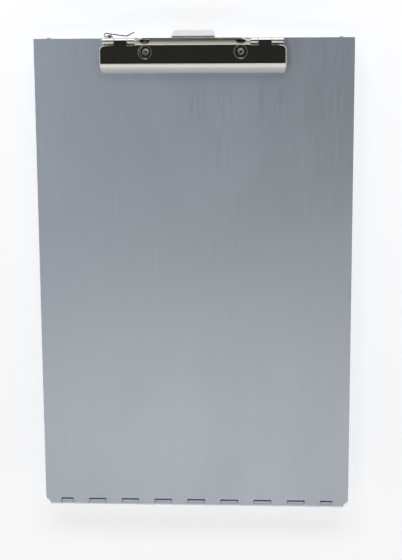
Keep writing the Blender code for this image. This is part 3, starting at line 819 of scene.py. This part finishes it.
# Pieces of the clip
def clip_foot():
    """The clip's foot: a flat strip with four ears that roll over the pivot rod."""
    ears = both_sides(
        [
            (LEVER_END + EAR_SIDE_PLAY, INNER_EAR_END - EAR_SIDE_PLAY),
            (CURL_END + EAR_SIDE_PLAY, END_EAR_END),
        ]
    )
    z = BASE_TOP - CLIP_SHEET / 2
    fold_y = PIVOT.y + CLIP_MIDDLE - BASE_BEND
    stations = [end for ear in ears for end in ear if abs(end) < END_EAR_END]
    foot = flat_sheet(
        "clip_foot",
        (-END_EAR_END, END_EAR_END),
        (PIVOT.y - BASE_REACH, fold_y),
        z,
        stations,
        finishes=[CLIP_FINISH, CLIP_EDGE],
    )
    for ear in ears:
        pick_row(ear, fold_y, z)
        bend(90, (0, fold_y, z + BASE_BEND), (1, 0, 0), BEND_STEPS)
        pull(0, 0, PIVOT.z - z - BASE_BEND)
        bend(CLIP_WRAP, PIVOT, (1, 0, 0), ROLL_STEPS)
    thicken(foot, CLIP_SHEET)
    ease(foot)
    settle(foot, "cover", "clip_nickel", "clip_base")


def lever_point(run, behind):
    """A place on the lever: how far up it from its bend, and how far behind its middle."""
    first = math.radians(LEVER_LEAN)
    lean = first + run / LEVER_HOLLOW
    turn = LEVER_FILLET + CLIP_SHEET / 2
    y = turn * math.sin(first) + LEVER_HOLLOW * (math.sin(lean) - math.sin(first))
    z = turn * (1 - math.cos(first)) + LEVER_HOLLOW * (math.cos(first) - math.cos(lean))
    return JAW_ROW_Y + y + behind * math.sin(lean), JAW_Z + z - behind * math.cos(lean)


def raise_lever():
    """Bends the lever up from the face, leaning back over the rod, hollow and tapered."""
    pick_row((-LEVER_END, LEVER_END), JAW_ROW_Y, JAW_Z)
    bend(LEVER_LEAN, (0, JAW_ROW_Y, JAW_Z + LEVER_FILLET + CLIP_SHEET / 2), (1, 0, 0), BEND_STEPS)
    bend(LEVER_TIP_LEAN - LEVER_LEAN, (0, *lever_point(0, -LEVER_HOLLOW)), (1, 0, 0), BEND_STEPS)
    for step in range(1, BEND_STEPS + 1):
        share = step / BEND_STEPS
        y, z = lever_point(LEVER_LENGTH * share, 0)
        taper = max(0, share - LEVER_TAPER_START) / (1 - LEVER_TAPER_START)
        draw_in_row(y, z, LEVER_END, LEVER_END - LEVER_TAPER * taper)
    tip_z = z
    round_corner(lambda place: place.z > tip_z - TINY, LEVER_CORNER)


def clip_front():
    """One stamping: flat face, creased and rounded lip, two curls on the rod, thumb lever."""
    curls = both_sides([(INNER_EAR_END + EAR_SIDE_PLAY, CURL_END - EAR_SIDE_PLAY)])
    stations = [-LEVER_END, LEVER_END] + [end for curl in curls for end in curl]
    crease, steep = math.radians(LIP_CREASE), math.radians(LIP_STEEP)
    crease_bend = CREASE_RADIUS - CLIP_SHEET / 2
    lip_bend = LIP_RADIUS - CLIP_SHEET / 2
    run = crease_bend * math.sin(crease) + lip_bend * (math.sin(steep) - math.sin(crease))
    fall = crease_bend * (1 - math.cos(crease)) + lip_bend * (math.cos(crease) - math.cos(steep))
    edge_fall = JAW_Z - fall - FACE - GAP
    edge_run = edge_fall / math.tan(steep)
    lip_y = PIVOT.y - JAW_REACH + CLIP_SHEET / 2 + run + edge_run
    front = flat_sheet(
        "clip_front",
        (-JAW_END, JAW_END),
        (lip_y, JAW_ROW_Y),
        JAW_Z,
        stations,
        finishes=[CLIP_FINISH, CLIP_EDGE],
    )
    pick_row((-JAW_END, JAW_END), lip_y, JAW_Z)
    bend(LIP_CREASE, (0, lip_y, JAW_Z - crease_bend), (1, 0, 0), BEND_STEPS)
    lip_middle_y = lip_y + (lip_bend - crease_bend) * math.sin(crease)
    lip_middle_z = JAW_Z - crease_bend - (lip_bend - crease_bend) * math.cos(crease)
    bend(LIP_STEEP - LIP_CREASE, (0, lip_middle_y, lip_middle_z), (1, 0, 0), LIP_STEPS)
    pull(0, -edge_run, -edge_fall)

    # Corners of the lip, drawn in row by row as seen from in front
    rows = arc((lip_middle_y, lip_middle_z), lip_bend, 90 + LIP_CREASE, 90 + LIP_STEEP, LIP_STEPS)
    rows.append((rows[-1][0] - edge_run, FACE + GAP))
    corner_y = PIVOT.y - JAW_REACH + LIP_CORNER
    for y, z in rows:
        share = min(1, max(0, (corner_y - y) / LIP_CORNER))
        draw_in_row(y, z, JAW_END, JAW_END - LIP_CORNER * (1 - math.sqrt(1 - share * share)))

    for curl in curls:
        pick_row(curl, JAW_ROW_Y, JAW_Z)
        pull(0, PIVOT.y - JAW_ROW_Y, 0)
        bend(-CLIP_WRAP, PIVOT, (1, 0, 0), ROLL_STEPS)

    raise_lever()
    round_corner(
        lambda place: abs(place.x) > JAW_END - TINY and place.y > JAW_ROW_Y - TINY, JAW_CORNER
    )
    thicken(front, CLIP_SHEET)
    holes = [(-RIVET_X, RIVET_Y, JAW_Z), (RIVET_X, RIVET_Y, JAW_Z)]
    punch(front, holes, ACCESS_HOLE_RADIUS, 4 * CLIP_SHEET)

    def on_side(place):
        return abs(place.x) > CURL_END and place.z < JAW_Z + CLIP_SHEET

    def on_hole(place):
        off = math.hypot(abs(place.x) - RIVET_X, place.y - RIVET_Y)
        return abs(off - ACCESS_HOLE_RADIUS) < GAP

    ease_by_weight(front, [(on_side, RIM_EASE), (on_hole, HOLE_EASE)])
    settle(front, "jaw", "clip_nickel", "clip_jaw")


def tube_rivets():
    """Tubular rivets: a flat head inside the board and a rolled ring on the clip's foot."""
    ring_middle = (RIVET_BORE + RIVET_RING) / 2
    ring_half = (RIVET_RING - RIVET_BORE) / 2
    head_top = -(CLIP_SHEET + GAP + COVER_SHEET) - GAP
    head_end = head_top - RIVET_HEAD_HEIGHT
    profile = [(RIVET_BORE, -CLIP_SHEET), (RIVET_BORE, GAP)]
    for across, height in arc((0, 0), 1, 180, 0, 2 * CORNER_STEPS)[1:]:
        profile.append((ring_middle + ring_half * across, GAP + RIVET_RING_HEIGHT * height))
    profile += [
        (RIVET_SHANK, GAP),
        (RIVET_SHANK, head_top),
        (RIVET_HEAD, head_top),
        (RIVET_HEAD - RIVET_HEAD_EASE, head_end),
    ]
    for hand, x in (("left", -RIVET_X), ("right", RIVET_X)):
        rivet = turned(f"tube_rivet_{hand}", profile, (x, RIVET_Y, BASE_TOP), 0, RIVET_FINISH)
        ease(rivet, FINE_EASE)
        settle(rivet, "cover", "rivet_metal", f"clip_rivet_{hand}")


def tangent_point(target, radius, side):
    """The angle where a line from the target touches a circle about the pivot, on one side."""
    towards = math.degrees(math.atan2(target[1], target[0]))
    return towards + side * math.degrees(math.acos(radius / math.hypot(*target)))


def spring_path(coil, foot, thumb):
    """Places along a spring's wire, seen from the pivot: foot, coil round the rod, lever's leg."""
    start = tangent_point(foot, coil, 1) % 360
    end = tangent_point(thumb, coil, -1) % 360
    end += 360 * (SPRING_TURNS + (end < start))
    count = math.ceil((end - start) / 360 * COIL_STEPS)
    pitch = SPRING_WIRE + SPRING_SPACE
    points = [(SPRING_X, *foot)]
    for index in range(count + 1):
        angle = start + (end - start) * index / count
        turn = math.radians(angle)
        x = SPRING_X - pitch * (angle - start) / 360
        points.append((x, coil * math.cos(turn), coil * math.sin(turn)))
    last_x, last_y, last_z = points[-1]
    for step in range(1, LEG_STEPS + 1):
        share = step / LEG_STEPS
        y = last_y + (thumb[0] - last_y) * share
        z = last_z + (thumb[1] - last_z) * share
        points.append((last_x, y, z))
    return points


def bent_wire(name, places, finish):
    """A round wire through the places, as one closed mesh."""
    curve = bpy.data.curves.new(name, "CURVE")
    curve.dimensions = "3D"
    curve.bevel_depth = SPRING_WIRE / 2
    curve.bevel_resolution = WIRE_ROUNDNESS
    curve.use_fill_caps = True
    spline = curve.splines.new("POLY")
    spline.points.add(len(places) - 1)
    for point, place in zip(spline.points, places):
        point.co = (*place, 1)
    wire = bpy.data.objects.new(name, curve)
    bpy.context.scene.collection.objects.link(wire)
    deselect()
    bpy.context.view_layer.objects.active = wire
    wire.select_set(True)
    bpy.ops.object.convert(target="MESH")
    wire = bpy.context.object
    bpy.ops.object.mode_set(mode="EDIT")
    bpy.ops.mesh.select_all(action="SELECT")
    bpy.ops.mesh.remove_doubles(threshold=TINY)
    bpy.ops.mesh.normals_make_consistent(inside=False)
    bpy.ops.object.mode_set(mode="OBJECT")
    wire.data.materials.clear()
    wire.data.materials.append(finish)
    bpy.ops.object.shade_smooth_by_angle(angle=math.radians(WIRE_SMOOTH_ANGLE))
    return wire


def torsion_spring(hand_name, hand):
    """A leg on the clip's foot, the coil round the rod, and a leg that follows the lever."""
    coil = CLIP_PIN_RADIUS + SPRING_PIN_GAP + SPRING_WIRE / 2
    foot = (-SPRING_BASE_LEG, BASE_TOP + GAP + SPRING_WIRE / 2 - PIVOT.z)
    thumb_y, thumb_z = lever_point(SPRING_LEVER_LEG, CLIP_SHEET / 2 + GAP + SPRING_WIRE / 2)
    path = spring_path(coil, foot, (thumb_y - PIVOT.y, thumb_z - PIVOT.z))
    places = [(hand * x, PIVOT.y + y, PIVOT.z + z) for x, y, z in path]
    spring = bent_wire(f"torsion_spring_{hand_name}", places, SPRING_FINISH)
    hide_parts(f"clip_spring_{hand_name}")
    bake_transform(spring)


def pen_leaf():
    """A hairpin leaf on the left ear of the clip's foot. A pen's clip slides in from the right."""
    foot_end = -CURL_END - LEAF_FOOT_INSET
    turn_x = foot_end - LEAF_FOOT
    low, high = LEAF.z - LEAF_HEIGHT / 2, LEAF.z + LEAF_HEIGHT / 2
    slope = math.radians(LEAF_SLOPE)
    leaf = upright_sheet(
        "pen_leaf", (turn_x, foot_end), (low, high), LEAF.y, [LEAF_FINISH, LEAF_FINISH]
    )
    pick(lambda place: place.x < turn_x + TINY)
    bend(-180 - LEAF_SLOPE, (turn_x, LEAF.y + LEAF_TURN, 0), (0, 0, 1), 2 * BEND_STEPS)
    pull(LEAF_LENGTH * math.cos(slope), -LEAF_LENGTH * math.sin(slope), 0)
    pinch_x = turn_x + LEAF_TURN * math.sin(slope) + LEAF_LENGTH * math.cos(slope)
    pinch_y = LEAF.y + LEAF_TURN * (1 + math.cos(slope)) - LEAF_LENGTH * math.sin(slope)
    flare_x = pinch_x + LEAF_FLARE_RADIUS * math.sin(slope)
    flare_y = pinch_y + LEAF_FLARE_RADIUS * math.cos(slope)
    bend(LEAF_FLARE, (flare_x, flare_y, 0), (0, 0, 1), BEND_STEPS)
    flare = math.radians(LEAF_FLARE - LEAF_SLOPE)
    pull(LEAF_FLARE_LENGTH * math.cos(flare), LEAF_FLARE_LENGTH * math.sin(flare), 0)
    tip_x = flare_x + LEAF_FLARE_RADIUS * math.sin(flare) + LEAF_FLARE_LENGTH * math.cos(flare)
    round_corner(lambda place: place.x > tip_x - TINY, LEAF_CORNER)
    thicken(leaf, LEAF_SHEET)
    ease(leaf, FINE_EASE)
    settle(leaf, "pen_leaf", "spring_steel", "pen_holder")
    seat = (LEAF.x, LEAF.y + LEAF_SHEET / 2, LEAF.z)
    grip = LEAF_SHEET + GAP + CLIP_SHEET
    stud("pen_leaf_stud", grip, seat, -90, "cover", "pen_holder_rivet")


# Stage
def studio():
    """A pale floor in a round white tent, lit by its walls and four softboxes, dark overhead."""
    deselect()
    bpy.ops.mesh.primitive_plane_add(size=FLOOR_SIZE)
    floor = bpy.context.object
    floor.name = "floor"
    paper = bpy.data.materials.new("floor_paper")
    paper.use_nodes = True
    shader = paper.node_tree.nodes["Principled BSDF"]
    shader.inputs["Base Color"].default_value = (FLOOR_WHITE, FLOOR_WHITE, FLOOR_WHITE, 1)
    shader.inputs["Roughness"].default_value = FLOOR_ROUGHNESS
    shader.inputs["Emission Color"].default_value = (1, 1, 1, 1)
    shader.inputs["Emission Strength"].default_value = FLOOR_GLOW
    floor.data.materials.append(paper)

    world = bpy.data.worlds.new("studio")
    bpy.context.scene.world = world
    world.use_nodes = True
    nodes = Nodes(world.node_tree)
    direction = nodes.add("ShaderNodeTexCoord", output="Generated")
    height = nodes.add("ShaderNodeSeparateXYZ", {}, {0: direction}, "Z")
    walls = rise(nodes, height + height.beside("Y") * TENT_TILT, TENT_OPENING, TENT_WALLS)
    background = world.node_tree.nodes["Background"]
    background.inputs["Color"].default_value = (1, 1, 1, 1)
    dimming = TENT_FOOT_GLOW + rise(nodes, height, 0.0, TENT_FOOT_TOP) * (1 - TENT_FOOT_GLOW)
    nodes.feed(background.inputs["Strength"], TENT_DARK + walls * dimming * TENT_GLOW)
    for name, settings in SOFTBOXES.items():
        softbox(name, *settings)
    bpy.context.scene.view_settings.view_transform = "Standard"


def softbox(name, place, width, depth, brightness, colour):
    """A rectangular light that shines straight down."""
    data = bpy.data.lights.new(name, "AREA")
    data.shape = "RECTANGLE"
    data.size = width
    data.size_y = depth
    data.energy = brightness * math.pi * width * depth
    data.color = colour
    light = bpy.data.objects.new(name, data)
    light.location = place
    bpy.context.scene.collection.objects.link(light)


def camera():
    """Where the photograph was taken from: above the clip, looking down the board."""
    data = bpy.data.cameras.new("camera")
    data.sensor_width = SENSOR
    data.lens = FOCAL_PIXELS * SENSOR / max(PHOTO_WIDTH, PHOTO_HEIGHT)
    viewer = bpy.data.objects.new("camera", data)
    bpy.context.scene.collection.objects.link(viewer)
    place, target = Vector(CAMERA_PLACE), Vector(CAMERA_TARGET)
    back = (place - target).normalized()
    right = Vector((0, 1, 0)).cross(back).normalized()
    up = back.cross(right)
    aim = Matrix((right, up, back)).transposed().to_4x4()
    roll = Matrix.Rotation(math.radians(CAMERA_ROLL), 4, "Z")
    viewer.matrix_world = Matrix.Translation(place) @ aim @ roll
    bpy.context.scene.camera = viewer


COVER_FINISH = brushed_aluminium("cover_aluminium", (0.648, 0.713, 0.795), (0.718, 0.783, 0.868))
COVER_EDGE = sheared_edge("cover_edge", (0.55, 0.57, 0.60), (0.72, 0.74, 0.77))
TRAY_FINISH = brushed_aluminium(
    "tray_aluminium", (0.648, 0.703, 0.775), (0.718, 0.773, 0.848), 0.55
)
TRAY_EDGE = sheared_edge("tray_edge", (0.55, 0.57, 0.60), (0.72, 0.74, 0.77))
CLIP_FINISH = polished_nickel("clip_nickel")
CLIP_EDGE = polished_nickel("clip_edge", (0.66, 0.635, 0.59), (0.78, 0.76, 0.72))
LEAF_FINISH = polished_nickel("leaf_nickel")
LATCH_FINISH = brushed_aluminium("latch_metal", (0.71, 0.70, 0.68), (0.77, 0.76, 0.74))
RIVET_FINISH = polished_nickel("rivet_nickel")
ROD_FINISH = drawn_steel("rod_steel", (0.40, 0.40, 0.40), (0.62, 0.62, 0.61))
SPRING_FINISH = drawn_steel("spring_wire", (0.30, 0.30, 0.31), (0.55, 0.55, 0.55))

camera()
writing_cover()
folded_tray()
corner_rivets()
hinge_rod_half = HALF_WIDTH - COVER_CHAMFER - GAP
rod("hinge_rod", HINGE_PIN_RADIUS, hinge_rod_half, HINGE.y, HINGE.z, "tray", "hinge_pin")
latch_strip()
clip_foot()
clip_front()
tube_rivets()
rod("clip_rod", CLIP_PIN_RADIUS, END_EAR_END + GAP, PIVOT.y, PIVOT.z, "cover", "clip_pivot_pin")
torsion_spring("left", -1)
torsion_spring("right", 1)
pen_leaf()
studio()
